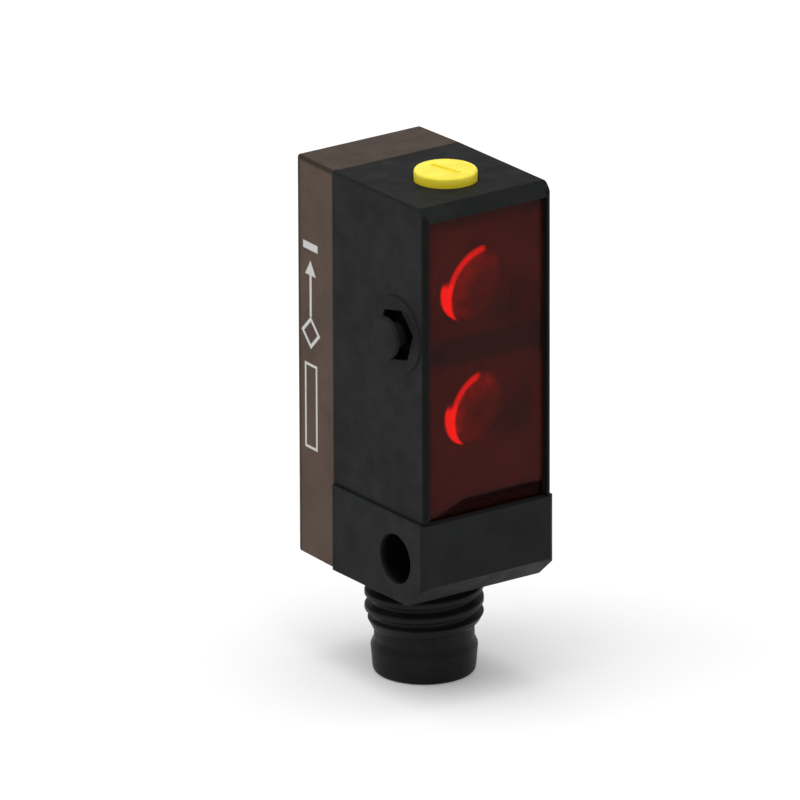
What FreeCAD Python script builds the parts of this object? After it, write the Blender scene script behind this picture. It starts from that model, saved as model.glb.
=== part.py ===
import FreeCAD, Part
import math
import os

# Miniature photoelectric sensor with an M8 plug, in millimetres.
# +Z is up, the window faces -Y, and the origin is the centre of the plug's lower end.

VEC = FreeCAD.Vector
X_AXIS = VEC(1, 0, 0)
Y_AXIS = VEC(0, 1, 0)
Z_AXIS = VEC(0, 0, 1)

# Overall sizes
BODY_WIDTH = 10.0
BASE_WIDTH = 10.4
FRONT_Y = -7.1
BASE_FRONT_Y = -7.25
SEAM_Y = 2.85
REAR_Y = 7.25
PLUG_LENGTH = 7.0
BASE_HEIGHT = 5.85
HOUSING_HEIGHT = 27.0
BOTTOM_Z = PLUG_LENGTH
BASE_TOP_Z = BOTTOM_Z + BASE_HEIGHT
TOP_Z = BOTTOM_Z + HOUSING_HEIGHT

# Housing shell
SIDE_WALL = 1.0
TOP_WALL = 1.4
FRONT_EDGE_RADIUS = 0.35
TOP_EDGE_RADIUS = 0.2
TOP_CHAMFER_DEPTH = 0.7
TOP_CHAMFER_HEIGHT = 0.8
CAVITY_HALF = BODY_WIDTH / 2 - SIDE_WALL
CAVITY_TOP_Z = TOP_Z - TOP_WALL

# Window, sunk into the front frame
WINDOW_HALF = 4.55
WINDOW_GAP = 0.05
WINDOW_TOP_Z = TOP_Z - 1.0
WINDOW_FRONT_Y = FRONT_Y + 0.4
WINDOW_BACK_Y = WINDOW_FRONT_Y + 0.45
SEAT_Y = WINDOW_BACK_Y + 0.1

# Side studs, each in a hexagonal pocket in a round collar
STUD_Y = -4.15
STUD_Z = BOTTOM_Z + 17.97
STUD_RADIUS = 1.375
STUD_NECK_RADIUS = 0.8
STUD_OUT = BASE_WIDTH / 2 + 0.85
STUD_HEAD = 0.3
STUD_ROOT = 3.5
COLLAR_RADIUS = 2.55
COLLAR_OUT = BODY_WIDTH / 2 + 0.12
POCKET_CORNER_RADIUS = 1.85
POCKET_TURN = 12.0
POCKET_FLOOR = 4.0
BOSS_RADIUS = 2.2
BOSS_END = 3.2

# Base block
HOLE_RADIUS = 1.65
HOLE_Y = -4.1
HOLE_Z = BOTTOM_Z + 2.83
BASE_EDGE_CHAMFER = 0.38
BASE_CHAMFER_DEPTH = 1.8
BASE_CHAMFER_HEIGHT = 1.6
RIM_HEIGHT = 0.55
RIM_GAP = 0.1
RIM_WALL = 0.6
WIRE_BAY_HALF = 3.4
WIRE_BAY_FRONT_Y = -2.0
WIRE_BAY_FLOOR_Z = BOTTOM_Z + 3.0

# Rear cover
COVER_DRAFT = 0.18
COVER_LIFT = 0.05
COVER_EDGE_RADIUS = 0.4
COVER_WALL = 0.9
COVER_CAVITY_HALF = 3.85
SEAL_WIDTH = 0.3
SEAL_HALF = 4.7
SEAL_MARGIN = 0.35

# Optics
LENS_Z = {"emitter_lens": BOTTOM_Z + 12.45, "receiver_lens": BOTTOM_Z + 20.75}
LENS_SEAT_Y = FRONT_Y + 1.9
LENS_DOME_RADIUS = 2.45
LENS_DOME_HEIGHT = 0.36
LENS_FLANGE_RADIUS = 2.65
LENS_FLANGE = 0.5
PLATE_HALF = 3.85
PLATE_DEPTH = 0.8
TUNNEL_FRONT_RADIUS = 2.35
TUNNEL_BACK_RADIUS = 1.1
TUNNEL_WALL = 0.5
FLANGE_BACK_Y = -0.4
FLANGE_DEPTH = 0.5
STUD_CLEARANCE = 0.15

# Circuit boards
BOARD_FRONT_Y = 0.4
BOARD_DEPTH = 0.8
BOARD_HALF = 3.7
OUTPUT_BOARD_Y = 4.4
OUTPUT_BOARD_DEPTH = 0.6
OUTPUT_BOARD_HALF = 3.3

# Sensitivity adjuster
KNOB_X = 0.0
KNOB_Y = -2.48
KNOB_RADIUS = 2.04
KNOB_TOP_Z = TOP_Z + 0.65
KNOB_FIT = 0.075
WELL_FLOOR_Z = TOP_Z - 0.8
KNOB_SEAL_SECTION = 0.23
SHAFT_RADIUS = 1.15
SHAFT_FIT = 0.05
SLOT_LENGTH = 2.4
SLOT_WIDTH = 0.42
SLOT_DEPTH = 0.4
SLOT_TURN = 11.5
POT_HALF = 1.85
POT_TOP_Z = CAVITY_TOP_Z - 0.3
POT_HEIGHT = 1.6
ROTOR_RADIUS = 1.5
ROTOR_HEIGHT = 0.8

# M8 plug
THREAD_RADIUS = 3.85
THREAD_ROOT_RADIUS = 3.4
THREAD_PITCH = 1.0
THREAD_START_Z = 2.89
THREAD_START_TURN = -20.0
THREAD_END_Z = 6.35
THREAD_HALF_ROOT = 0.49
THREAD_HALF_CREST = 0.13
NECK_RADIUS = 3.25
NECK_LOW_Z = 2.25
NECK_HIGH_Z = 3.3
LEAD_IN = ((3.28, 2.85), (3.95, 4.17))
RING_RADIUS = 3.47
RING_TOP_Z = 1.75
RING_END_RADIUS = 3.34
PLUG_BORE_RADIUS = 2.75
INSERT_FACE_Z = 4.9
INSERT_SHOULDER_Z = 6.4
INSERT_NECK_RADIUS = 2.15
INSERT_TOP_Z = BOTTOM_Z + 3.2
CONTACT_RADIUS = 0.5
CONTACT_CIRCLE = 1.45
CONTACT_ANGLES = (35.0, 145.0, 235.0, 305.0)
CONTACT_TIP_Z = 0.8
CONTACT_TOP_Z = BOTTOM_Z + 3.8
LEAD_RADIUS = 0.25
LEAD_BEND = 0.6


def block(x, y, z):
    """A box from three (low, high) pairs."""
    return Part.makeBox(x[1] - x[0], y[1] - y[0], z[1] - z[0], VEC(x[0], y[0], z[0]))


def rod(start, direction, radius, length):
    return Part.makeCylinder(radius, length, start, direction)


def prism(points, along):
    """A closed outline, pushed along a vector."""
    outline = Part.makePolygon(points + points[:1])
    return Part.Face(outline).extrude(along)


def turned(profile):
    """A solid of revolution about Z from (radius, height) points."""
    points = [VEC(radius, 0, height) for radius, height in profile]
    outline = Part.makePolygon(points + points[:1])
    return Part.Face(outline).revolve(VEC(0, 0, 0), Z_AXIS, 360)


def edges_at(shape, direction, *limits):
    """Straight edges along a direction whose middle is at the given (index, value) places."""
    found = []
    for edge in shape.Edges:
        ends = [vertex.Point for vertex in edge.Vertexes]
        if len(ends) < 2:
            continue
        span = ends[1] - ends[0]
        if span.cross(direction).Length > 1e-6 * span.Length:
            continue
        middle = (ends[0] + ends[1]) * 0.5
        if all(abs(middle[index] - value) < 1e-4 for index, value in limits):
            found.append(edge)
    return found


def save(node, shape):
    if not shape.isValid():
        raise ValueError(node + " is not a valid shape")
    shape.exportStep("parts/" + node + ".step")


def hexagon_pocket(side):
    """The hexagonal pocket on one side, from outside the collar down to its floor."""
    points = []
    for step in range(6):
        angle = math.radians(POCKET_TURN + 60 * step)
        y = STUD_Y - POCKET_CORNER_RADIUS * math.cos(angle)
        z = STUD_Z + POCKET_CORNER_RADIUS * math.sin(angle)
        points.append(VEC(side * POCKET_FLOOR, y, z))
    return prism(points, X_AXIS * (side * BODY_WIDTH / 2))


def main_housing():
    half = BODY_WIDTH / 2
    shell = block((-half, half), (FRONT_Y, SEAM_Y), (BASE_TOP_Z, TOP_Z))
    for x in (-half, half):
        shell = shell.makeFillet(FRONT_EDGE_RADIUS, edges_at(shell, Z_AXIS, (0, x), (1, FRONT_Y)))
    wedge = prism(
        [
            VEC(-half - 1, FRONT_Y - 1, TOP_Z - TOP_CHAMFER_HEIGHT),
            VEC(-half - 1, FRONT_Y, TOP_Z - TOP_CHAMFER_HEIGHT),
            VEC(-half - 1, FRONT_Y + TOP_CHAMFER_DEPTH, TOP_Z),
            VEC(-half - 1, FRONT_Y + TOP_CHAMFER_DEPTH, TOP_Z + 1),
            VEC(-half - 1, FRONT_Y - 1, TOP_Z + 1),
        ],
        X_AXIS * (BODY_WIDTH + 2),
    )
    shell = shell.cut(wedge)
    for x in (-half, half):
        shell = shell.makeFillet(TOP_EDGE_RADIUS, edges_at(shell, Y_AXIS, (0, x), (2, TOP_Z)))
    collar = rod(VEC(-COLLAR_OUT, STUD_Y, STUD_Z), X_AXIS, COLLAR_RADIUS, 2 * COLLAR_OUT)
    shell = shell.fuse(collar)
    cavity = block((-CAVITY_HALF, CAVITY_HALF), (SEAT_Y, SEAM_Y), (BASE_TOP_Z, CAVITY_TOP_Z))
    for side in (-1, 1):
        start = VEC(side * (CAVITY_HALF + 0.01), STUD_Y, STUD_Z)
        length = CAVITY_HALF + 0.01 - BOSS_END
        cavity = cavity.cut(rod(start, X_AXIS * -side, BOSS_RADIUS, length))
    shell = shell.cut(cavity)
    opening_half = WINDOW_HALF + WINDOW_GAP
    opening = block(
        (-opening_half, opening_half),
        (FRONT_Y - 1, SEAT_Y),
        (BASE_TOP_Z - 1, WINDOW_TOP_Z + WINDOW_GAP),
    )
    shell = shell.cut(opening)
    for side in (-1, 1):
        shell = shell.cut(hexagon_pocket(side))
        root = VEC(side * STUD_ROOT, STUD_Y, STUD_Z)
        shell = shell.cut(rod(root, X_AXIS * side, STUD_NECK_RADIUS, 1))
    centre = VEC(KNOB_X, KNOB_Y, WELL_FLOOR_Z)
    shell = shell.cut(rod(centre, Z_AXIS, KNOB_RADIUS + KNOB_FIT, 2))
    centre.z = CAVITY_TOP_Z - 0.1
    shell = shell.cut(rod(centre, Z_AXIS, SHAFT_RADIUS + SHAFT_FIT, 2))
    return shell.cut(seal_ring())


def seal_ring():
    """The rectangular gasket that runs round the seam in front of the rear cover."""
    y = (SEAM_Y - SEAL_WIDTH / 2, SEAM_Y + SEAL_WIDTH / 2)
    low = BOTTOM_Z + SEAL_MARGIN + COVER_LIFT
    high = TOP_Z - SEAL_MARGIN
    outer = block((-SEAL_HALF, SEAL_HALF), y, (low, high))
    inner_half = SEAL_HALF - SEAL_WIDTH
    inner = block((-inner_half, inner_half), y, (low + SEAL_WIDTH, high - SEAL_WIDTH))
    return outer.cut(inner)


def locating_studs():
    studs = []
    for side in (-1, 1):
        start = VEC(side * STUD_ROOT, STUD_Y, STUD_Z)
        neck = rod(start, X_AXIS * side, STUD_NECK_RADIUS, STUD_OUT - STUD_ROOT)
        head_start = VEC(side * (STUD_OUT - STUD_HEAD), STUD_Y, STUD_Z)
        stud = neck.fuse(rod(head_start, X_AXIS * side, STUD_RADIUS, STUD_HEAD)).removeSplitter()
        rims = []
        for edge in stud.Edges:
            on_end = abs(edge.CenterOfMass.x - side * STUD_OUT) < 1e-4
            if on_end and edge.Length > 6 * STUD_NECK_RADIUS + 1:
                rims.append(edge)
        studs.append(stud.makeChamfer(0.12, rims))
    return Part.makeCompound(studs)


def base_block():
    half = BASE_WIDTH / 2
    body = block((-half, half), (BASE_FRONT_Y, SEAM_Y), (BOTTOM_Z, BASE_TOP_Z))
    for x in (-half, half):
        corner = edges_at(body, Z_AXIS, (0, x), (1, BASE_FRONT_Y))
        body = body.makeChamfer(BASE_EDGE_CHAMFER, corner)
    toe = prism(
        [
            VEC(-half - 1, BASE_FRONT_Y - 1, BOTTOM_Z - 1),
            VEC(-half - 1, BASE_FRONT_Y + BASE_CHAMFER_DEPTH, BOTTOM_Z - 1),
            VEC(-half - 1, BASE_FRONT_Y + BASE_CHAMFER_DEPTH, BOTTOM_Z),
            VEC(-half - 1, BASE_FRONT_Y, BOTTOM_Z + BASE_CHAMFER_HEIGHT),
            VEC(-half - 1, BASE_FRONT_Y - 1, BOTTOM_Z + BASE_CHAMFER_HEIGHT),
        ],
        X_AXIS * (BASE_WIDTH + 2),
    )
    body = body.cut(toe)
    rim_half = CAVITY_HALF - RIM_GAP
    rim = block((-rim_half, rim_half), (SEAT_Y, SEAM_Y), (BASE_TOP_Z, BASE_TOP_Z + RIM_HEIGHT))
    inner_half = rim_half - RIM_WALL
    rim = rim.cut(
        block((-inner_half, inner_half), (SEAT_Y + RIM_WALL, SEAM_Y), (BASE_TOP_Z, BASE_TOP_Z + 1))
    )
    body = body.fuse(rim)
    bay = block(
        (-WIRE_BAY_HALF, WIRE_BAY_HALF),
        (WIRE_BAY_FRONT_Y, SEAM_Y),
        (WIRE_BAY_FLOOR_Z, BASE_TOP_Z),
    )
    body = body.cut(bay)
    body = body.cut(rod(VEC(0, 0, BOTTOM_Z - 1), Z_AXIS, INSERT_NECK_RADIUS, BASE_HEIGHT))
    body = body.cut(rod(VEC(-BASE_WIDTH, HOLE_Y, HOLE_Z), X_AXIS, HOLE_RADIUS, 2 * BASE_WIDTH))
    return body.cut(seal_ring())


def rear_cover():
    half = BODY_WIDTH / 2
    low = BOTTOM_Z + COVER_LIFT
    outline = [
        VEC(-half, SEAM_Y, low),
        VEC(half, SEAM_Y, low),
        VEC(half - COVER_DRAFT, REAR_Y, low),
        VEC(-half + COVER_DRAFT, REAR_Y, low),
    ]
    cover = prism(outline, Z_AXIS * (TOP_Z - low))
    back = [edge for edge in cover.Edges if abs(edge.CenterOfMass.y - REAR_Y) < 1e-4]
    cover = cover.makeFillet(COVER_EDGE_RADIUS, back)
    top_sides = []
    for edge in cover.Edges:
        middle = edge.CenterOfMass
        if abs(middle.z - TOP_Z) < 1e-4 and abs(middle.x) > half - COVER_DRAFT:
            top_sides.append(edge)
    cover = cover.makeFillet(TOP_EDGE_RADIUS, top_sides)
    cavity = block(
        (-COVER_CAVITY_HALF, COVER_CAVITY_HALF),
        (SEAM_Y, REAR_Y - COVER_WALL),
        (low + COVER_WALL, TOP_Z - COVER_WALL),
    )
    return cover.cut(cavity).cut(seal_ring())


def front_window():
    return block(
        (-WINDOW_HALF, WINDOW_HALF),
        (WINDOW_FRONT_Y, WINDOW_BACK_Y),
        (BASE_TOP_Z + 0.02, WINDOW_TOP_Z),
    )


def window_gasket():
    outer = block(
        (-WINDOW_HALF + 0.05, WINDOW_HALF - 0.05),
        (WINDOW_BACK_Y, SEAT_Y),
        (BASE_TOP_Z + 0.1, WINDOW_TOP_Z - 0.05),
    )
    inner = block(
        (-CAVITY_HALF - 0.05, CAVITY_HALF + 0.05),
        (WINDOW_BACK_Y, SEAT_Y),
        (BASE_TOP_Z + RIM_HEIGHT - 0.1, CAVITY_TOP_Z + 0.05),
    )
    return outer.cut(inner)


def tunnel(z, radius_front, radius_back):
    """A light tunnel: a cone that narrows from its lens towards the circuit board."""
    start = LENS_SEAT_Y + LENS_FLANGE
    return Part.makeCone(radius_front, radius_back, FLANGE_BACK_Y - start, VEC(0, start, z), Y_AXIS)


def optics_carrier():
    low = BASE_TOP_Z + RIM_HEIGHT + 0.05
    plate = block(
        (-PLATE_HALF, PLATE_HALF),
        (LENS_SEAT_Y, LENS_SEAT_Y + PLATE_DEPTH),
        (low, CAVITY_TOP_Z - 0.15),
    )
    flange_half = PLATE_HALF - 0.25
    flange = block(
        (-flange_half, flange_half),
        (FLANGE_BACK_Y - FLANGE_DEPTH, FLANGE_BACK_Y),
        (LENS_Z["emitter_lens"] - 4, LENS_Z["receiver_lens"] + 2.5),
    )
    carrier = plate.fuse(flange)
    for z in LENS_Z.values():
        carrier = carrier.fuse(
            tunnel(z, TUNNEL_FRONT_RADIUS + TUNNEL_WALL, TUNNEL_BACK_RADIUS + TUNNEL_WALL)
        )
    for x in (-flange_half + 0.5, flange_half - 0.5):
        for z in (LENS_Z["emitter_lens"] - 3.4, LENS_Z["receiver_lens"] + 1.9):
            post = rod(VEC(x, FLANGE_BACK_Y, z), Y_AXIS, 0.4, BOARD_FRONT_Y - FLANGE_BACK_Y)
            carrier = carrier.fuse(post)
    for z in LENS_Z.values():
        carrier = carrier.cut(tunnel(z, TUNNEL_FRONT_RADIUS, TUNNEL_BACK_RADIUS))
        seat = rod(VEC(0, LENS_SEAT_Y, z), Y_AXIS, LENS_FLANGE_RADIUS, LENS_FLANGE)
        carrier = carrier.cut(seat)
    for side in (-1, 1):
        start = VEC(side * (BOSS_END - STUD_CLEARANCE), STUD_Y, STUD_Z)
        boss_space = rod(start, X_AXIS * side, BOSS_RADIUS + STUD_CLEARANCE, 2)
        carrier = carrier.cut(boss_space)
    return carrier


def lens(z):
    """A plano-convex lens: a flange with a shallow dome towards the window."""
    flange = rod(VEC(0, LENS_SEAT_Y, z), Y_AXIS, LENS_FLANGE_RADIUS, LENS_FLANGE)
    curve = (LENS_DOME_RADIUS ** 2 + LENS_DOME_HEIGHT ** 2) / (2 * LENS_DOME_HEIGHT)
    ball = Part.makeSphere(curve, VEC(0, LENS_SEAT_Y - LENS_DOME_HEIGHT + curve, z))
    keep = rod(VEC(0, LENS_SEAT_Y - 1, z), Y_AXIS, LENS_FLANGE_RADIUS, 1.05)
    return flange.fuse(ball.common(keep))


def light_barrier():
    half = BOSS_END - STUD_CLEARANCE
    middle = (LENS_Z["emitter_lens"] + LENS_Z["receiver_lens"]) / 2 - 0.1
    return block((-half, half), (WINDOW_BACK_Y, LENS_SEAT_Y), (middle - 0.65, middle + 0.65))


def main_circuit_board():
    low = BASE_TOP_Z + RIM_HEIGHT + 0.1
    back = BOARD_FRONT_Y + BOARD_DEPTH
    return block((-BOARD_HALF, BOARD_HALF), (BOARD_FRONT_Y, back), (low, CAVITY_TOP_Z - 0.3))


def output_circuit_board():
    back = OUTPUT_BOARD_Y + OUTPUT_BOARD_DEPTH
    half = OUTPUT_BOARD_HALF
    return block((-half, half), (OUTPUT_BOARD_Y, back), (BOTTOM_Z + 2.0, TOP_Z - 2.0))


def package(x, z, face_y, size):
    """An electronic part on a board's face: size is width, depth away from the board, height."""
    width, depth, height = size
    y = (min(face_y, face_y + depth), max(face_y, face_y + depth))
    return block((x - width / 2, x + width / 2), y, (z - height / 2, z + height / 2))


def emitter_led():
    z = LENS_Z["emitter_lens"]
    body = package(0, z, BOARD_FRONT_Y, (1.8, -0.5, 1.8))
    dome = Part.makeSphere(0.6, VEC(0, BOARD_FRONT_Y - 0.5, z))
    space = rod(VEC(0, BOARD_FRONT_Y - 2, z), Y_AXIS, 1, 1.55)
    return body.fuse(dome.common(space))


def receiver_diode():
    return package(0, LENS_Z["receiver_lens"], BOARD_FRONT_Y, (2.4, -0.7, 1.8))


def board_resistors():
    parts = []
    back = BOARD_FRONT_Y + BOARD_DEPTH
    for row in range(3):
        for x in (-2.2, 2.2):
            parts.append(package(x, BOTTOM_Z + 9.0 + 1.4 * row, back, (1.0, 0.35, 0.5)))
    return Part.makeCompound(parts)


def board_capacitors():
    parts = []
    for x, z, width in ((-1.6, 8.0, 1.6), (1.6, 8.0, 1.6), (0.0, 11.0, 2.0)):
        parts.append(package(x, BOTTOM_Z + z, OUTPUT_BOARD_Y, (width, -0.9, 1.2)))
    return Part.makeCompound(parts)


def board_link_pins():
    start = BOARD_FRONT_Y + BOARD_DEPTH
    pins = []
    for step in range(4):
        x = -1.905 + 1.27 * step
        y = (start, OUTPUT_BOARD_Y)
        pins.append(block((x - 0.2, x + 0.2), y, (TOP_Z - 4.2, TOP_Z - 3.8)))
    return Part.makeCompound(pins)


def potentiometer_body():
    low = POT_TOP_Z - POT_HEIGHT
    body = block(
        (KNOB_X - POT_HALF, KNOB_X + POT_HALF),
        (KNOB_Y - POT_HALF, KNOB_Y + POT_HALF),
        (low, POT_TOP_Z),
    )
    floor_z = POT_TOP_Z - ROTOR_HEIGHT - SHAFT_FIT
    well = rod(VEC(KNOB_X, KNOB_Y, floor_z), Z_AXIS, ROTOR_RADIUS + SHAFT_FIT, 2)
    return body.cut(well)


def potentiometer_leads():
    leads = []
    for x in (KNOB_X - 1.25, KNOB_X, KNOB_X + 1.25):
        y = (KNOB_Y + POT_HALF, BOARD_FRONT_Y)
        z = (POT_TOP_Z - POT_HEIGHT + 0.2, POT_TOP_Z - POT_HEIGHT + 0.45)
        leads.append(block((x - 0.2, x + 0.2), y, z))
    return Part.makeCompound(leads)


def turned_to_slot(shape):
    """Turns a piece about the adjuster's axis to where its screwdriver slot points."""
    shape.rotate(VEC(KNOB_X, KNOB_Y, 0), Z_AXIS, SLOT_TURN)
    return shape


def bar(length, width, low, high):
    """A bar across the adjuster's axis, along the screwdriver slot."""
    x = (KNOB_X - width / 2, KNOB_X + width / 2)
    y = (KNOB_Y - length / 2, KNOB_Y + length / 2)
    return turned_to_slot(block(x, y, (low, high)))


def potentiometer_rotor():
    start = VEC(KNOB_X, KNOB_Y, POT_TOP_Z - ROTOR_HEIGHT)
    rotor = rod(start, Z_AXIS, ROTOR_RADIUS, ROTOR_HEIGHT)
    return rotor.cut(bar(2.1, 0.6, POT_TOP_Z - 0.6, POT_TOP_Z + 1))


def adjuster_knob():
    disc_low = WELL_FLOOR_Z + 2 * KNOB_SEAL_SECTION + 0.06
    disc = rod(VEC(KNOB_X, KNOB_Y, disc_low), Z_AXIS, KNOB_RADIUS, KNOB_TOP_Z - disc_low)
    rims = [edge for edge in disc.Edges if abs(edge.CenterOfMass.z - KNOB_TOP_Z) < 1e-4]
    disc = disc.makeFillet(0.18, rims)
    shaft_low = POT_TOP_Z + 0.1
    shaft = rod(VEC(KNOB_X, KNOB_Y, shaft_low), Z_AXIS, SHAFT_RADIUS, disc_low - shaft_low)
    blade = bar(1.9, 0.5, POT_TOP_Z - 0.5, shaft_low)
    knob = disc.fuse(shaft).fuse(blade)
    return knob.cut(bar(SLOT_LENGTH, SLOT_WIDTH, KNOB_TOP_Z - SLOT_DEPTH, KNOB_TOP_Z + 1))


def knob_seal():
    ring_radius = SHAFT_RADIUS + 0.03 + KNOB_SEAL_SECTION
    centre = VEC(KNOB_X, KNOB_Y, WELL_FLOOR_Z + KNOB_SEAL_SECTION)
    return Part.makeTorus(ring_radius, KNOB_SEAL_SECTION, centre)


def thread_ridge():
    """The M8 x 1 right-hand thread's ridge, which rises out of the neck along a conical lead-in."""
    height = THREAD_END_Z - THREAD_START_Z
    core = NECK_RADIUS - 0.01
    helix = Part.makeHelix(THREAD_PITCH, height, core)
    profile = Part.makePolygon(
        [
            VEC(core, 0, -THREAD_HALF_ROOT),
            VEC(THREAD_RADIUS, 0, -THREAD_HALF_CREST),
            VEC(THREAD_RADIUS, 0, THREAD_HALF_CREST),
            VEC(core, 0, THREAD_HALF_ROOT),
            VEC(core, 0, -THREAD_HALF_ROOT),
        ]
    )
    ridge = Part.Wire(helix.Edges).makePipeShell([profile], True, True)
    ridge.translate(VEC(0, 0, THREAD_START_Z))
    ridge.rotate(VEC(0, 0, 0), Z_AXIS, THREAD_START_TURN)
    (low_radius, low_z), (high_radius, high_z) = LEAD_IN
    outside = turned([(low_radius, low_z - 1), (5, low_z - 1), (5, high_z), (high_radius, high_z), (low_radius, low_z)])
    return ridge.cut(outside)


def connector_barrel():
    core = turned(
        [
            (PLUG_BORE_RADIUS, 0),
            (RING_END_RADIUS - 0.35, 0),
            (RING_END_RADIUS - 0.1, 0.1),
            (RING_END_RADIUS, 0.35),
            (RING_RADIUS, RING_TOP_Z),
            (NECK_RADIUS, NECK_LOW_Z),
            (NECK_RADIUS, NECK_HIGH_Z - 0.1),
            (THREAD_ROOT_RADIUS, NECK_HIGH_Z),
            (THREAD_ROOT_RADIUS, BOTTOM_Z),
            (INSERT_NECK_RADIUS, BOTTOM_Z),
            (INSERT_NECK_RADIUS, INSERT_SHOULDER_Z),
            (PLUG_BORE_RADIUS, INSERT_SHOULDER_Z),
        ]
    )
    key = block((-0.4, 0.4), (PLUG_BORE_RADIUS - 0.4, PLUG_BORE_RADIUS + 0.2), (0.8, INSERT_FACE_Z))
    return core.fuse(thread_ridge()).fuse(key)


def contact_places():
    for degrees in CONTACT_ANGLES:
        angle = math.radians(degrees)
        yield CONTACT_CIRCLE * math.cos(angle), CONTACT_CIRCLE * math.sin(angle)


def contact_insert():
    insert = turned(
        [
            (0, INSERT_FACE_Z),
            (PLUG_BORE_RADIUS, INSERT_FACE_Z),
            (PLUG_BORE_RADIUS, INSERT_SHOULDER_Z),
            (INSERT_NECK_RADIUS, INSERT_SHOULDER_Z),
            (INSERT_NECK_RADIUS, INSERT_TOP_Z),
            (0, INSERT_TOP_Z),
        ]
    )
    for x, y in contact_places():
        insert = insert.cut(rod(VEC(x, y, 0), Z_AXIS, CONTACT_RADIUS, CONTACT_TOP_Z))
    return insert


def contact_pins():
    pins = []
    for x, y in contact_places():
        pin = turned(
            [
                (0, CONTACT_TIP_Z),
                (CONTACT_RADIUS - 0.28, CONTACT_TIP_Z),
                (CONTACT_RADIUS - 0.1, CONTACT_TIP_Z + 0.1),
                (CONTACT_RADIUS, CONTACT_TIP_Z + 0.35),
                (CONTACT_RADIUS, CONTACT_TOP_Z),
                (0, CONTACT_TOP_Z),
            ]
        )
        pin.translate(VEC(x, y, 0))
        pins.append(pin)
    return Part.makeCompound(pins)


def contact_leads():
    """A bent wire from the top of each contact to the output board."""
    leads = []
    for step, (x, y) in enumerate(contact_places()):
        level = CONTACT_TOP_Z + 0.9 + 0.3 * (step % 2)
        corner = VEC(x, y, level)
        bend_start = corner - Z_AXIS * LEAD_BEND
        bend_end = corner + Y_AXIS * LEAD_BEND
        middle = corner + (Y_AXIS - Z_AXIS) * (LEAD_BEND * (1 - math.sqrt(0.5)))
        start = VEC(x, y, CONTACT_TOP_Z)
        path = Part.Wire(
            [
                Part.LineSegment(start, bend_start).toShape(),
                Part.Arc(bend_start, middle, bend_end).toShape(),
                Part.LineSegment(bend_end, VEC(x, OUTPUT_BOARD_Y, level)).toShape(),
            ]
        )
        section = Part.Wire(Part.makeCircle(LEAD_RADIUS, start, Z_AXIS))
        leads.append(path.makePipeShell([section], True, True))
    return Part.makeCompound(leads)


def build():
    os.makedirs("parts", exist_ok=True)
    main_board_back = BOARD_FRONT_Y + BOARD_DEPTH
    output_board_back = OUTPUT_BOARD_Y + OUTPUT_BOARD_DEPTH
    indicator_z = TOP_Z - 3.0
    nodes = {
        "main_housing": main_housing(),
        "locating_studs": locating_studs(),
        "base_block": base_block(),
        "rear_cover": rear_cover(),
        "cover_seal": seal_ring(),
        "front_window": front_window(),
        "window_gasket": window_gasket(),
        "optics_carrier": optics_carrier(),
        "emitter_lens": lens(LENS_Z["emitter_lens"]),
        "receiver_lens": lens(LENS_Z["receiver_lens"]),
        "light_barrier": light_barrier(),
        "main_circuit_board": main_circuit_board(),
        "emitter_led": emitter_led(),
        "receiver_diode": receiver_diode(),
        "sensor_chip": package(0, BOTTOM_Z + 17.0, main_board_back, (4.0, 0.8, 4.0)),
        "board_resistors": board_resistors(),
        "output_circuit_board": output_circuit_board(),
        "output_driver": package(0, BOTTOM_Z + 15.5, OUTPUT_BOARD_Y, (2.9, -1.0, 2.8)),
        "board_capacitors": board_capacitors(),
        "board_link_pins": board_link_pins(),
        "output_indicator_led": package(1.4, indicator_z, output_board_back, (1.6, 0.7, 0.8)),
        "power_indicator_led": package(-1.4, indicator_z, output_board_back, (1.6, 0.7, 0.8)),
        "potentiometer_body": potentiometer_body(),
        "potentiometer_leads": potentiometer_leads(),
        "potentiometer_rotor": potentiometer_rotor(),
        "adjuster_knob": adjuster_knob(),
        "knob_seal": knob_seal(),
        "connector_barrel": connector_barrel(),
        "contact_insert": contact_insert(),
        "contact_pins": contact_pins(),
        "contact_leads": contact_leads(),
    }
    for node, shape in nodes.items():
        save(node, shape)
        box = shape.BoundBox
        print(node, len(shape.Solids), "solid,", round(shape.Volume, 3), "mm3, z", round(box.ZMin, 2),
              "to", round(box.ZMax, 2))


build()
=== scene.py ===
import math

import bmesh
import bpy
from mathutils import Matrix, Vector


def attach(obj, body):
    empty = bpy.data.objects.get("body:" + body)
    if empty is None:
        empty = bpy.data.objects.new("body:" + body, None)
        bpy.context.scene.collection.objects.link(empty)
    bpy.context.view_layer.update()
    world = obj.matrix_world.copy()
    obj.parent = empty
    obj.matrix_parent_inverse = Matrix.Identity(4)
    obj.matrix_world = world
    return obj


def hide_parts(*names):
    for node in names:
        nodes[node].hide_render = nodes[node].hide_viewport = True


# Looks of the miniature photoelectric sensor, in the CAD frame: +Z is up, the
# window faces -Y and the origin is under the plug. Sizes and places are written
# in millimetres and multiplied by MM where Blender takes them.

MM = 0.001

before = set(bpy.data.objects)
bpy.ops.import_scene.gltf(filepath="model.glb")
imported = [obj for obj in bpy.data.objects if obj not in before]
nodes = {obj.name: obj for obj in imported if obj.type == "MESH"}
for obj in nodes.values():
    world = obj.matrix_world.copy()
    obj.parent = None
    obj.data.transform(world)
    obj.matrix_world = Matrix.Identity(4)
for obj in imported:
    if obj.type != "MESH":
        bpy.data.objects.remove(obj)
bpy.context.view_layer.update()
scene = bpy.context.scene


# ---------------------------------------------------------------- node helpers


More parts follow.
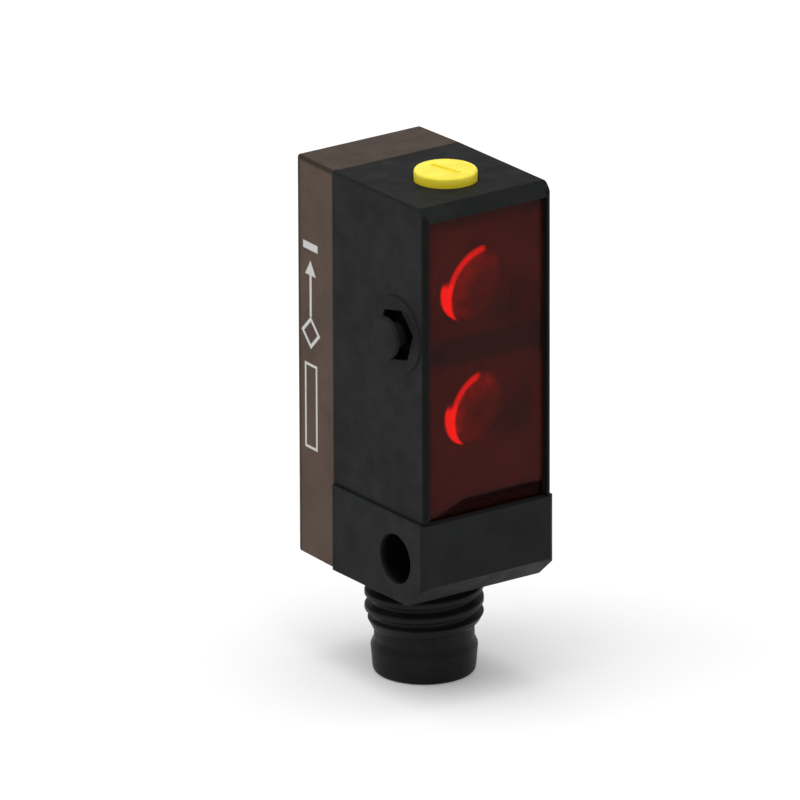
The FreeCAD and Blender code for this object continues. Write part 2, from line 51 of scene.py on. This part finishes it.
class Look:
    """A material and short ways to add nodes to it."""

    def __init__(self, name, rough, specular=0.5):
        self.material = bpy.data.materials.new(name)
        self.material.use_nodes = True
        self.tree = self.material.node_tree
        self.shader = self.tree.nodes["Principled BSDF"]
        self.output = self.tree.nodes["Material Output"]
        self.shader.inputs["Roughness"].default_value = rough
        self.shader.inputs["Specular IOR Level"].default_value = specular
        self.shader.inputs["IOR"].default_value = 1.5
        self.place = self.node("ShaderNodeTexCoord").outputs["Object"]

    def node(self, kind, **settings):
        made = self.tree.nodes.new(kind)
        for key, value in settings.items():
            setattr(made, key, value)
        return made

    def link(self, source, target):
        self.tree.links.new(source, target)

    def feed(self, value, socket):
        """Links a node's output to a socket, or sets a plain value on it."""
        if isinstance(value, bpy.types.NodeSocket):
            self.link(value, socket)
        else:
            socket.default_value = value

    def set(self, name, value):
        self.feed(value, self.shader.inputs[name])

    def noise(self, size_mm, detail=2.0, roughness=0.5):
        """Noise from about 0 to 1 whose features are size_mm across."""
        made = self.node("ShaderNodeTexNoise")
        made.inputs["Scale"].default_value = 1.0 / (size_mm * MM)
        made.inputs["Detail"].default_value = detail
        made.inputs["Roughness"].default_value = roughness
        self.link(self.place, made.inputs["Vector"])
        return made.outputs["Fac"]

    def math(self, operation, a, b=0.0, clamp=False):
        made = self.node("ShaderNodeMath", operation=operation, use_clamp=clamp)
        for value, socket in zip((a, b), made.inputs):
            self.feed(value, socket)
        return made.outputs[0]

    def remap(self, value, low, high, to_low=0.0, to_high=1.0, smooth=True):
        made = self.node("ShaderNodeMapRange")
        made.interpolation_type = "SMOOTHSTEP" if smooth else "LINEAR"
        for number, socket in zip((value, low, high, to_low, to_high), made.inputs):
            self.feed(number, socket)
        return made.outputs[0]

    def mix(self, factor, a, b):
        made = self.node("ShaderNodeMix", data_type="RGBA")
        self.feed(factor, made.inputs["Factor"])
        colours = [s for s in made.inputs if s.type == "RGBA"]
        self.feed(a, colours[0])
        self.feed(b, colours[1])
        return [s for s in made.outputs if s.type == "RGBA"][0]

    def axes(self):
        made = self.node("ShaderNodeSeparateXYZ")
        self.link(self.place, made.inputs[0])
        return made.outputs

    def bump(self, height, strength, depth_mm):
        made = self.node("ShaderNodeBump")
        made.inputs["Strength"].default_value = strength
        made.inputs["Distance"].default_value = depth_mm * MM
        self.link(height, made.inputs["Height"])
        return made.outputs["Normal"]

    def times(self, *values):
        product = values[0]
        for value in values[1:]:
            product = self.math("MULTIPLY", product, value)
        return product

    def highest(self, *values):
        result = values[0]
        for value in values[1:]:
            result = self.math("MAXIMUM", result, value)
        return result

    def blend(self, a, share_a, b, share_b):
        """The sum of two values, each multiplied by its share."""
        return self.math("ADD", self.times(a, share_a), self.times(b, share_b))

    def disc(self, across_mm, z_mm, radius_mm, soft_mm, across="X"):
        """1 inside a disc in the X-Z or Y-Z plane, with a soft rim."""
        axes = self.axes()
        dx = self.math("SUBTRACT", axes[across], across_mm * MM)
        dz = self.math("SUBTRACT", axes["Z"], z_mm * MM)
        span = self.math("SQRT", self.math("ADD", self.times(dx, dx), self.times(dz, dz)))
        return self.remap(span, (radius_mm + soft_mm) * MM, (radius_mm - soft_mm) * MM)

    def band(self, axis, low_mm, high_mm, soft_mm):
        """1 between two positions along an axis, with soft ends."""
        along = self.axes()[axis]
        above = self.remap(along, (low_mm - soft_mm) * MM, (low_mm + soft_mm) * MM)
        below = self.remap(along, (high_mm + soft_mm) * MM, (high_mm - soft_mm) * MM)
        return self.times(above, below)

    def off_centre(self, from_mm, to_mm):
        """From 0 to 1 as the distance from the middle plane, X = 0, goes between two values."""
        return self.remap(self.math("ABSOLUTE", self.axes()["X"]), from_mm * MM, to_mm * MM)


def rgb(red, green, blue):
    """An sRGB colour from 0 to 255, as the linear colour that shaders take."""
    linear = []
    for value in (red, green, blue):
        value /= 255.0
        linear.append(value / 12.92 if value <= 0.04045 else ((value + 0.055) / 1.055) ** 2.4)
    return (*linear, 1.0)


# ---------------------------------------------------------------- moulded plastics


def moulded(name, dark, light, rough, specular, grain_mm=0.09, grain_depth=0.004, shade_and_print=None):
    """Moulded plastic: a fine spark-eroded grain, flow marks and slightly polished patches."""
    look = Look(name, rough, specular)
    broad = look.noise(3.2, 4.0, 0.55)
    fine = look.noise(0.28, 3.0, 0.6)
    grain = look.noise(grain_mm)
    tone = look.blend(broad, 0.65, fine, 0.35)
    colour = look.mix(look.remap(tone, 0.32, 0.68), dark, light)
    # For the housing this layer is painted shade; for the cover, darker bands and its print.
    if shade_and_print:
        colour = shade_and_print(look, colour)
    look.set("Base Color", colour)
    patches = look.noise(1.4, 3.0, 0.6)
    look.set("Roughness", look.remap(patches, 0.3, 0.7, rough - 0.07, rough + 0.07))
    relief = look.blend(grain, 0.7, fine, 0.5)
    look.set("Normal", look.bump(relief, 0.5, grain_depth))
    return look


STUD_Y, STUD_Z, STUD_POCKET_RADIUS = -4.15, 24.97, 1.9
HOLE_Y, HOLE_Z, HOLE_RADIUS = -4.1, 9.83, 1.68
HOUSING_TOP_Z = 34.0


def housing_painted_shade(look, colour):
    """Painted shade: darkens the studs' pockets, the cross hole and the front edge."""
    # Painted shade inside the studs' pockets.
    pocket = look.disc(STUD_Y, STUD_Z, STUD_POCKET_RADIUS, 0.02, across="Y")
    pocket = look.times(pocket, look.off_centre(5.02, 4.9), 0.85)
    colour = look.mix(pocket, colour, rgb(4, 4, 4))
    # Painted shade inside the cross hole.
    hole = look.disc(HOLE_Y, HOLE_Z, HOLE_RADIUS, 0.02, across="Y")
    hole = look.times(hole, look.off_centre(5.15, 4.7), 0.9)
    colour = look.mix(hole, colour, rgb(3, 3, 3))
    # Painted shade along the front edge's fillet, beside the window.
    front = look.times(look.band("Y", -7.2, -6.8, 0.04), look.band("Z", 12.8, HOUSING_TOP_Z, 0.05))
    edge = look.times(look.off_centre(4.55, 4.62), front, 0.7)
    return look.mix(edge, colour, rgb(12, 12, 12))


MARK_Y = 5.55
MARK_SOFT = 0.04
DIAMOND_Z, DIAMOND_OUTER, DIAMOND_INNER = 22.3, 1.1, 0.78
ARROW_Z, ARROW_LINE_HALF = (23.4, 26.4), 0.12
ARROW_HEAD_Z, ARROW_TIP_Z, ARROW_HEAD_SLOPE = (26.2, 27.4), 27.2, 0.62
BAR_Z, BAR_HALF = (27.9, 28.4), 0.85
BOX_Y, BOX_Z, BOX_LINE = (4.82, 6.28), (14.4, 20.2), 0.18


def pictograms(look):
    """1 on the printed marks: a diamond, an arrow up to a bar, and an empty frame below them."""
    axes = look.axes()
    off = look.math("ABSOLUTE", look.math("SUBTRACT", axes["Y"], MARK_Y * MM))

    def rectangle(y_range, z_range):
        return look.times(look.band("Y", *y_range, MARK_SOFT), look.band("Z", *z_range, MARK_SOFT))

    rise = look.math("ABSOLUTE", look.math("SUBTRACT", axes["Z"], DIAMOND_Z * MM))
    span = look.math("ADD", off, rise)
    diamond = look.times(
        look.remap(span, (DIAMOND_OUTER + MARK_SOFT) * MM, (DIAMOND_OUTER - MARK_SOFT) * MM),
        look.remap(span, (DIAMOND_INNER - MARK_SOFT) * MM, (DIAMOND_INNER + MARK_SOFT) * MM),
    )
    line = rectangle((MARK_Y - ARROW_LINE_HALF, MARK_Y + ARROW_LINE_HALF), ARROW_Z)
    below_tip = look.math("SUBTRACT", ARROW_TIP_Z * MM, axes["Z"])
    inside = look.math("SUBTRACT", look.times(below_tip, ARROW_HEAD_SLOPE), off)
    head = look.remap(inside, -MARK_SOFT * MM, MARK_SOFT * MM)
    head = look.times(head, look.band("Z", *ARROW_HEAD_Z, MARK_SOFT))
    bar = rectangle((MARK_Y - BAR_HALF, MARK_Y + BAR_HALF), BAR_Z)
    outer = rectangle(BOX_Y, BOX_Z)
    inner = rectangle(
        (BOX_Y[0] + BOX_LINE, BOX_Y[1] - BOX_LINE), (BOX_Z[0] + BOX_LINE, BOX_Z[1] - BOX_LINE)
    )
    box = look.math("SUBTRACT", outer, inner, clamp=True)
    return look.highest(box, diamond, line, head, bar)


def cover_bands_and_print(look, colour):
    """Darker bands along the cover's rear, top and seam edges, a darker top, and the print on its
    left side.
    """
    rear = look.band("Y", 6.72, 8.0, 0.12)
    top = look.band("Z", 33.68, 33.98, 0.05)
    seam = look.band("Y", 2.7, 3.0, 0.05)
    border = look.times(look.highest(rear, top, seam), look.off_centre(4.5, 4.6), 0.75)
    colour = look.mix(border, colour, rgb(34, 29, 27))
    top_face = look.times(look.band("Z", 33.97, 35.0, 0.02), 0.32)
    colour = look.mix(top_face, colour, rgb(40, 36, 34))
    left = look.remap(look.axes()["X"], -4.5 * MM, -4.6 * MM)
    ink = look.remap(look.noise(0.12), 0.25, 0.45, 0.72, 0.95)
    return look.mix(look.times(pictograms(look), left, ink), colour, rgb(206, 205, 202))


looks = {
    "black_housing": moulded(
        "housing_black", rgb(26, 28, 27), rgb(33, 35, 34), 0.55, 0.06, shade_and_print=housing_painted_shade
    ),
    "plug_black": moulded(
        "plug_black", rgb(22, 22, 22), rgb(30, 30, 29), 0.42, 0.08, 0.07, 0.003
    ),
    "smoke_cover": moulded(
        "cover_smoke", rgb(73, 58, 48), rgb(84, 67, 56), 0.38, 0.08, 0.12, 0.003, cover_bands_and_print
    ),
    "carrier_plastic": moulded(
        "carrier_black", rgb(34, 30, 30), rgb(52, 44, 42), 0.55, 0.25, 0.12, 0.006
    ),
    "seal_rubber": moulded(
        "rubber_black", rgb(17, 17, 17), rgb(29, 28, 28), 0.72, 0.2, 0.16, 0.008
    ),
    "insert_plastic": moulded(
        "insert_black", rgb(24, 24, 25), rgb(38, 38, 38), 0.5, 0.35, 0.1, 0.004
    ),
    "chip_mould": moulded(
        "chip_epoxy", rgb(26, 26, 27), rgb(44, 44, 45), 0.6, 0.3, 0.05, 0.004
    ),
    "trimmer_body": moulded(
        "trimmer_body", rgb(34, 62, 112), rgb(48, 82, 138), 0.45, 0.4, 0.1, 0.004
    ),
    "trimmer_rotor": moulded(
        "trimmer_rotor", rgb(214, 208, 190), rgb(235, 230, 214), 0.42, 0.4, 0.1, 0.004
    ),
}


# ---------------------------------------------------------------- knob, window and lenses


def yellow_plastic():
    """The adjuster: bright plastic with fine turning marks, paler above its foot, and a faint
    painted glow.
    """
    look = Look("knob_yellow", 0.38, 0.35)
    broad = look.noise(1.1, 3.0, 0.5)
    fine = look.noise(0.16, 3.0, 0.6)
    pale = look.mix(look.remap(broad, 0.3, 0.7), rgb(240, 222, 58), rgb(250, 236, 80))
    above_foot = look.remap(look.axes()["Z"], 34.18 * MM, 34.42 * MM)
    colour = look.mix(above_foot, rgb(244, 222, 48), pale)
    look.set("Base Color", colour)
    look.set("Roughness", look.remap(fine, 0.3, 0.7, 0.32, 0.46))
    # Painted light: a faint glow in the knob's own colour lifts its shaded sides.
    look.set("Emission Color", colour)
    look.set("Emission Strength", 0.08)
    look.set("Subsurface Weight", 0.12)
    look.set("Subsurface Radius", (0.6, 0.45, 0.1))
    look.set("Subsurface Scale", 0.4 * MM)
    look.set("Normal", look.bump(fine, 0.4, 0.004))
    return look


def red_filter():
    """The window: a glossy red filter, with painted shade where walls and the barrier are behind it
    and under the frame's top and left edges.
    """
    look = Look("window_red", 0.1, 0.1)
    broad = look.noise(2.6, 3.0, 0.6)
    streak = look.noise(0.5, 3.0, 0.6)
    lit = look.mix(look.remap(broad, 0.3, 0.7), rgb(74, 30, 26), rgb(90, 35, 29))
    across = look.axes()["X"]
    wedge_top = look.remap(across, -4.6 * MM, -1.6 * MM, 12.9 * MM, 14.0 * MM, smooth=False)
    above_wedge = look.math("SUBTRACT", look.axes()["Z"], wedge_top)
    # Painted shade: dark places in the filter's colour for the barrier, the lens middles, the wedge
    # and the frame's edges; the darkest are also made clearer.
    shades = {
        "barrier": (look.band("Z", 22.9, 24.9, 0.7), 0.7),
        "emitter_middle": (look.disc(1.9, 18.5, 1.2, 0.9), 0.65),
        "receiver_middle": (look.disc(1.3, 26.1, 1.1, 0.9), 0.6),
        "wedge": (look.remap(above_wedge, 0.12 * MM, -0.12 * MM), 0.95),
        "frame_top": (look.band("Z", 32.3, HOUSING_TOP_Z, 0.25), 0.6),
        "frame_left": (look.remap(across, -4.05 * MM, -4.35 * MM), 0.5),
    }
    dark = look.highest(*(look.times(place, depth) for place, depth in shades.values()))
    look.set("Base Color", look.mix(dark, lit, rgb(42, 30, 28)))
    look.set("Roughness", look.remap(streak, 0.3, 0.7, 0.07, 0.13))
    look.set("Normal", look.bump(look.noise(0.9), 0.12, 0.004))

    clear = look.node("ShaderNodeBsdfTransparent")
    clear.inputs["Color"].default_value = (0.93, 0.3, 0.26, 1.0)
    clear_share = look.remap(look.axes()["Y"], -6.6 * MM, -6.5 * MM, 0.5, 1.0)
    share = look.math("MAXIMUM", clear_share, look.remap(dark, 0.7, 1.0, 0.0, 0.9))
    surface = look.node("ShaderNodeMixShader")
    look.link(share, surface.inputs[0])
    look.link(look.shader.outputs[0], surface.inputs[1])
    look.link(clear.outputs[0], surface.inputs[2])
    look.link(surface.outputs[0], look.output.inputs["Surface"])
    return look


GLOW_SOFT = 0.11
GLOW_WIDTH = 0.36
LENS_EDGE = 2.58
LENS_MIDDLE = 2.2


def lens_glow(name, centre_z, arc, radius, lobe_x, lobe, tip_x):
    """A lens behind the filter: light caught along its left flank, over a deep red middle.

    The lit strip lies outside a circle about the point arc and inside a wider one.
    A third circle, of radius lobe, widens its lower half, and it stops at tip_x.
    """
    look = Look(name, 0.12, 0.2)
    arc_at = (arc[0], centre_z + arc[1])
    outside = look.math("SUBTRACT", 1.0, look.disc(*arc_at, radius, GLOW_SOFT))
    lower = look.remap(look.axes()["Z"], (centre_z + 0.55) * MM, (centre_z - 0.15) * MM)
    wide = look.times(look.disc(lobe_x, centre_z - 0.45, lobe, GLOW_SOFT), lower)
    narrow = look.disc(*arc_at, radius + GLOW_WIDTH, GLOW_SOFT)
    strip = look.times(outside, look.math("MAXIMUM", narrow, wide))
    strip = look.times(strip, look.disc(0.0, centre_z, LENS_EDGE, 0.08))
    tip = look.remap(look.axes()["X"], (tip_x + 0.2) * MM, (tip_x - 0.3) * MM)
    strip = look.times(strip, tip)

    middle = look.disc(0.0, centre_z, LENS_MIDDLE, 0.45)
    middle = look.times(middle, look.disc(*arc_at, radius + 0.2, 0.2))
    near = look.math("SUBTRACT", 1.0, look.disc(*arc_at, radius - 0.75, 0.9))
    near = look.times(near, middle)
    patches = look.remap(look.noise(0.9), 0.35, 0.65, 0.4, 1.4)
    power = look.times(strip, look.remap(lower, 0.0, 1.0, 1.2, 1.9))
    power = look.math("ADD", power, look.times(near, patches, 0.22))
    power = look.math("ADD", power, look.times(middle, 0.03))
    # Painted light: the emission draws the lit strip, the patches near it and a faint glow in the
    # middle.
    look.set("Emission Color", (1.0, 0.055, 0.048, 1.0))
    look.set("Emission Strength", power)

    cloud = look.remap(look.noise(0.8, 3.0, 0.5), 0.3, 0.7)
    look.set("Base Color", look.mix(cloud, rgb(26, 12, 11), rgb(34, 15, 13)))
    look.set("Roughness", look.remap(look.noise(0.3), 0.3, 0.7, 0.12, 0.24))
    return look


looks["yellow_knob"] = yellow_plastic()
looks["red_window"] = red_filter()
looks["receiver"] = lens_glow("lens_receiver", 27.75, (1.07, -0.77), 2.7, 0.28, 2.63, 1.1)
looks["emitter"] = lens_glow("lens_emitter", 19.45, (1.13, -0.69), 2.54, 0.33, 2.42, 0.6)


# ---------------------------------------------------------------- boards, metal and parts


def laminate():
    """Circuit board: green solder mask over a faint glass weave."""
    look = Look("board_green", 0.4)
    weave = look.node("ShaderNodeTexWave", wave_type="BANDS", bands_direction="Z")
    weave.inputs["Scale"].default_value = 1.0 / (1.6 * MM)
    weave.inputs["Distortion"].default_value = 0.6
    look.link(look.place, weave.inputs["Vector"])
    tone = look.blend(weave.outputs["Fac"], 0.4, look.noise(0.7), 0.6)
    look.set("Base Color", look.mix(look.remap(tone, 0.25, 0.75), rgb(14, 62, 40), rgb(26, 92, 58)))
    look.set("Roughness", look.remap(look.noise(0.4), 0.3, 0.7, 0.32, 0.48))
    look.set("Normal", look.bump(weave.outputs["Fac"], 0.3, 0.004))
    return look


def metal(name, dark, light, rough):
    """Plated metal: slightly uneven in tone, with fine drawing marks."""
    look = Look(name, rough)
    look.set("Metallic", 1.0)
    look.set("Base Color", look.mix(look.remap(look.noise(0.35, 3.0, 0.6), 0.3, 0.7), dark, light))
    marks = look.noise(0.12, 3.0, 0.6)
    look.set("Roughness", look.remap(marks, 0.3, 0.7, rough - 0.06, rough + 0.08))
    look.set("Normal", look.bump(look.noise(0.06), 0.3, 0.002))
    return look


def ceramic():
    """Resistors and capacitors: speckled brown, with paler patches."""
    look = Look("ceramic_parts", 0.5, 0.4)
    speck = look.noise(0.07, 2.0, 0.6)
    tone = look.mix(look.remap(speck, 0.3, 0.7), rgb(120, 92, 66), rgb(158, 126, 92))
    pale = look.remap(look.noise(0.9, 1.0, 0.4), 0.55, 0.6)
    look.set("Base Color", look.mix(pale, tone, rgb(176, 150, 118)))
    off = look.math("ABSOLUTE", look.axes()["X"])
    look.set("Roughness", look.remap(off, 1.2 * MM, 2.6 * MM, 0.4, 0.55))
    look.set("Normal", look.bump(speck, 0.4, 0.003))
    return look


def led_resin():
    """Light-emitting diodes: pale, slightly cloudy resin."""
    look = Look("led_resin", 0.15)
    cloud = look.noise(0.4, 3.0, 0.5)
    tone = look.remap(cloud, 0.3, 0.7)
    look.set("Base Color", look.mix(tone, rgb(196, 182, 150), rgb(226, 216, 188)))
    look.set("Roughness", look.remap(look.noise(0.15), 0.3, 0.7, 0.1, 0.24))
    look.set("Normal", look.bump(cloud, 0.2, 0.003))
    return look


looks["board_laminate"] = laminate()
looks["tinned_copper"] = metal("tinned_copper", rgb(176, 176, 172), rgb(208, 208, 202), 0.3)
looks["gold_contact"] = metal("gold_contact", rgb(214, 168, 82), rgb(240, 200, 112), 0.22)
looks["ceramic_parts"] = ceramic()
looks["led_resin"] = led_resin()

NODE_LOOKS = {
    "black_housing": ("main_housing", "base_block", "locating_studs"),
    "smoke_cover": ("rear_cover",),
    "red_window": ("front_window",),
    "receiver": ("receiver_lens",),
    "emitter": ("emitter_lens",),
    "yellow_knob": ("adjuster_knob",),
    "carrier_plastic": ("optics_carrier",),
    "seal_rubber": ("cover_seal", "window_gasket", "knob_seal", "light_barrier"),
    "board_laminate": ("main_circuit_board", "output_circuit_board"),
    "chip_mould": ("sensor_chip", "output_driver", "receiver_diode"),
    "ceramic_parts": ("board_resistors", "board_capacitors"),
    "led_resin": ("emitter_led", "output_indicator_led", "power_indicator_led"),
    "trimmer_body": ("potentiometer_body",),
    "trimmer_rotor": ("potentiometer_rotor",),
    "tinned_copper": ("potentiometer_leads", "board_link_pins", "contact_leads"),
    "gold_contact": ("contact_pins",),
    "insert_plastic": ("contact_insert",),
}


def paint(obj, look_name):
    obj.data.materials.clear()
    obj.data.materials.append(looks[look_name].material)


for look_name, members in NODE_LOOKS.items():
    for member in members:
        paint(nodes[member], look_name)


# ---------------------------------------------------------------- edges of the CAD pieces

FLAT_SIDED = ("main_housing", "base_block", "rear_cover", "front_window")
WELD_MM = 0.0005
FLAT_WITHIN = math.radians(0.6)
SHARP_ABOVE = math.radians(34.0)
EDGE_SEGMENTS = 2
EDGE_MM = {
    "main_housing": 0.06,
    "base_block": 0.08,
    "rear_cover": 0.06,
    "locating_studs": 0.05,
    "front_window": 0.04,
    "adjuster_knob": 0.04,
    "optics_carrier": 0.05,
    "light_barrier": 0.05,
    "window_gasket": 0.02,
    "sensor_chip": 0.05,
    "output_driver": 0.05,
    "receiver_diode": 0.05,
    "board_resistors": 0.04,
    "board_capacitors": 0.05,
    "output_indicator_led": 0.04,
    "power_indicator_led": 0.04,
    "main_circuit_board": 0.03,
    "output_circuit_board": 0.03,
    "contact_insert": 0.04,
    "potentiometer_body": 0.05,
}


def soften(obj, width_mm):
    """Rounds a CAD piece's sharp edges: its faces' seams are welded, then its corners bevelled."""
    if obj.data.attributes.get("custom_normal"):
        obj.data.attributes.remove(obj.data.attributes["custom_normal"])
    for polygon in obj.data.polygons:
        polygon.use_smooth = obj.name not in FLAT_SIDED
    weld = obj.modifiers.new("weld", "WELD")
    weld.merge_threshold = WELD_MM * MM
    flat = obj.modifiers.new("flat", "DECIMATE")
    flat.decimate_type = "DISSOLVE"
    flat.angle_limit = FLAT_WITHIN
    bevel = obj.modifiers.new("bevel", "BEVEL")
    bevel.width = width_mm * MM
    bevel.segments = EDGE_SEGMENTS
    bevel.limit_method = "ANGLE"
    bevel.angle_limit = SHARP_ABOVE
    bevel.use_clamp_overlap = True
    bevel.miter_outer = "MITER_ARC"
    if obj.name not in FLAT_SIDED:
        normals = obj.modifiers.new("normals", "WEIGHTED_NORMAL")
        normals.weight = 100


for node_name, width in EDGE_MM.items():
    soften(nodes[node_name], width)


# ---------------------------------------------------------------- the plug's barrel

# The thread: where its ridge starts and ends, its shape, and its tapered ends.
THREAD_START_TURN = -20.0
THREAD_START_Z = 2.89
THREAD_END_Z = 6.35
CREST_RADIUS = 3.85
CREST_HALF = 0.16
FLANK_SLOPE = 1.9
CREST_SOFT = 0.03
ROOT_SOFT = 0.012
LEAD_IN_RADIUS, LEAD_IN_Z, LEAD_IN_SLOPE = 3.28, 2.85, 0.509
LEAD_OUT_SLOPE = 2.5
CORE_RADIUS = 3.4

# The barrel below its thread, as (z, radius): the rim, the snap ring and the neck.
BARREL_FOOT = (
    (0.0, 3.12), (0.04, 3.22), (0.12, 3.3), (0.3, 3.35),
    (1.72, 3.465), (1.79, 3.455), (2.2, 3.27), (2.28, 3.25),
)
BARREL_TOP_Z = 7.0
BARREL_CORE = BARREL_FOOT + ((3.15, 3.25), (3.32, CORE_RADIUS), (BARREL_TOP_Z, CORE_RADIUS))

# The bore, from the top down: the wires' hole, the socket, and the key rib in it.
WIRES_Z, WIRES_RADIUS = 6.39, 2.15
BORE_RADIUS = 2.75
KEY_Z, KEY_RADIUS, KEY_TURN, KEY_HALF_TURN = (0.8, 4.9), 2.35, 90.0, 9.5
BORE_ROWS = (BARREL_TOP_Z, 6.4, WIRES_Z, 4.91, KEY_Z[1], 2.8, KEY_Z[0], 0.79, 0.1, 0.0)

THREAD_ROWS = 104
THREAD_ROW_Z, THREAD_ROW_STEP = 2.32, 0.045
BARREL_COLUMNS = 288
CREASE = math.radians(40)


def between(points, place):
    """The value at a place on a line through (place, value) points."""
    for (low, first), (high, second) in zip(points, points[1:]):
        if place <= high:
            return first + (second - first) * (place - low) / (high - low)
    return points[-1][1]


def soft_max(a, b, width):
    return max(a, b) + width * math.log1p(math.exp(-abs(a - b) / width))


def barrel_radius(degrees, z):
    """The core's radius, or the right-hand thread's rounded ridge where that stands out."""
    core = between(BARREL_CORE, z)
    first = THREAD_START_Z + ((degrees - THREAD_START_TURN) % 360.0) / 360.0
    turn_index = round(z - first)
    centre = first + turn_index
    if turn_index < 0 or centre > THREAD_END_Z:
        return core
    ridge = CREST_RADIUS - soft_max(0.0, (abs(z - centre) - CREST_HALF) * FLANK_SLOPE, CREST_SOFT)
    lead_in = LEAD_IN_RADIUS + (z - LEAD_IN_Z) * LEAD_IN_SLOPE
    lead_out = CORE_RADIUS + (THREAD_END_Z - centre) * LEAD_OUT_SLOPE
    return soft_max(core, min(ridge, lead_in, lead_out), ROOT_SOFT)


def barrel_bore(degrees, z):
    """The bore's radius, with the key rib at the back."""
    if z > WIRES_Z:
        return WIRES_RADIUS
    if KEY_Z[0] <= z <= KEY_Z[1] and abs(degrees - KEY_TURN) < KEY_HALF_TURN:
        return KEY_RADIUS
    return BORE_RADIUS


def make_barrel():
    """The threaded plug as one closed mesh: up the outside and down the bore, all round."""
    rows = [z for z, _ in BARREL_FOOT]
    rows += [THREAD_ROW_Z + THREAD_ROW_STEP * step for step in range(THREAD_ROWS)]
    rows.append(BARREL_TOP_Z)
    shape = bmesh.new()
    columns = []
    for step in range(BARREL_COLUMNS):
        degrees = 360.0 * step / BARREL_COLUMNS
        spots = [(barrel_radius(degrees, z), z) for z in rows]
        spots += [(barrel_bore(degrees, z), z) for z in BORE_ROWS]
        x, y = math.cos(math.radians(degrees)), math.sin(math.radians(degrees))
        columns.append([shape.verts.new((r * x * MM, r * y * MM, z * MM)) for r, z in spots])
    for step, this in enumerate(columns):
        following = columns[(step + 1) % BARREL_COLUMNS]
        for low in range(len(this)):
            high = (low + 1) % len(this)
            face = shape.faces.new((this[low], following[low], following[high], this[high]))
            face.smooth = True
    for edge in shape.edges:
        if edge.calc_face_angle(0.0) > CREASE:
            edge.smooth = False
    data = bpy.data.meshes.new("plug_barrel")
    shape.to_mesh(data)
    shape.free()
    barrel = bpy.data.objects.new("plug_barrel", data)
    scene.collection.objects.link(barrel)
    paint(barrel, "plug_black")
    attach(barrel, "housing")
    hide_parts("connector_barrel")


make_barrel()


# ---------------------------------------------------------------- camera, light and floor

VIEW_AZIMUTH = math.radians(-35.48)
VIEW_ELEVATION = math.radians(19.66)
VIEW_ROLL = math.radians(-0.205)
VIEW_DISTANCE = 0.9441
VIEW_POINT = Vector((-1.04, 1.14, 18.20)) * MM
VIEW_LENS = 663.4

camera_data = bpy.data.cameras.new("camera")
camera_data.sensor_width = 36.0
camera_data.lens = VIEW_LENS
camera_data.clip_start = 0.05
camera_data.clip_end = 20.0
camera = bpy.data.objects.new("camera", camera_data)
scene.collection.objects.link(camera)
towards = Vector((math.sin(VIEW_AZIMUTH), -math.cos(VIEW_AZIMUTH), 0.0))
back = towards * math.cos(VIEW_ELEVATION) + Vector((0.0, 0.0, math.sin(VIEW_ELEVATION)))
right = Vector((math.cos(VIEW_AZIMUTH), math.sin(VIEW_AZIMUTH), 0.0))
up = back.cross(right)
turn = Matrix((right, up, back)).transposed() @ Matrix.Rotation(VIEW_ROLL, 3, "Z")
camera.matrix_world = Matrix.Translation(VIEW_POINT + back * VIEW_DISTANCE) @ turn.to_4x4()
scene.camera = camera

scene.view_settings.view_transform = "Standard"
scene.view_settings.look = "None"
scene.view_settings.exposure = 0.0
scene.view_settings.gamma = 1.0

world = bpy.data.worlds.new("studio")
world.use_nodes = True
background = world.node_tree.nodes["Background"]
background.inputs["Color"].default_value = (1.0, 1.0, 1.0, 1.0)
background.inputs["Strength"].default_value = 0.55
scene.world = world


def from_view(side, forward, height):
    """A point given by its distance to the right of, and towards, the camera, and its height."""
    return right * side + towards * forward + Vector((0.0, 0.0, height))


def softbox(name, place_mm, aim_height_mm, size_mm, power):
    """A square light that faces a point above the origin."""
    data = bpy.data.lights.new(name, "AREA")
    data.shape = "RECTANGLE"
    data.size = size_mm * MM
    data.size_y = size_mm * MM
    data.energy = power
    light = bpy.data.objects.new(name, data)
    scene.collection.objects.link(light)
    place = Vector(place_mm) * MM
    facing = (Vector((0, 0, aim_height_mm)) * MM - place).to_track_quat("-Z", "Y")
    light.matrix_world = Matrix.Translation(place) @ facing.to_matrix().to_4x4()


softbox("left_box", from_view(-500, 60, 620), 12, 420, 0.8)
softbox("right_box", from_view(500, -60, 620), 8, 420, 0.15)
softbox("top_box", from_view(-40, 120, 1150), 20, 850, 6.6)

FLOOR_RADIUS = 3.0
FLOOR_GLOW = 0.15
FLOOR_PALE, FLOOR_PALER = (0.9, 0.9, 0.9, 1), (0.92, 0.92, 0.92, 1)

floor_look = Look("floor_pale", 0.6, 0.1)
floor_cloud = floor_look.remap(floor_look.noise(40.0), 0.3, 0.7)
floor_tone = floor_look.mix(floor_cloud, FLOOR_PALE, FLOOR_PALER)
floor_look.set("Base Color", floor_tone)
floor_look.set("Emission Color", floor_tone)
floor_look.set("Emission Strength", FLOOR_GLOW)
floor_shape = bmesh.new()
bmesh.ops.create_circle(floor_shape, cap_ends=True, radius=FLOOR_RADIUS, segments=96)
floor_data = bpy.data.meshes.new("floor")
floor_shape.to_mesh(floor_data)
floor_shape.free()
floor = bpy.data.objects.new("floor", floor_data)
scene.collection.objects.link(floor)
floor_data.materials.append(floor_look.material)
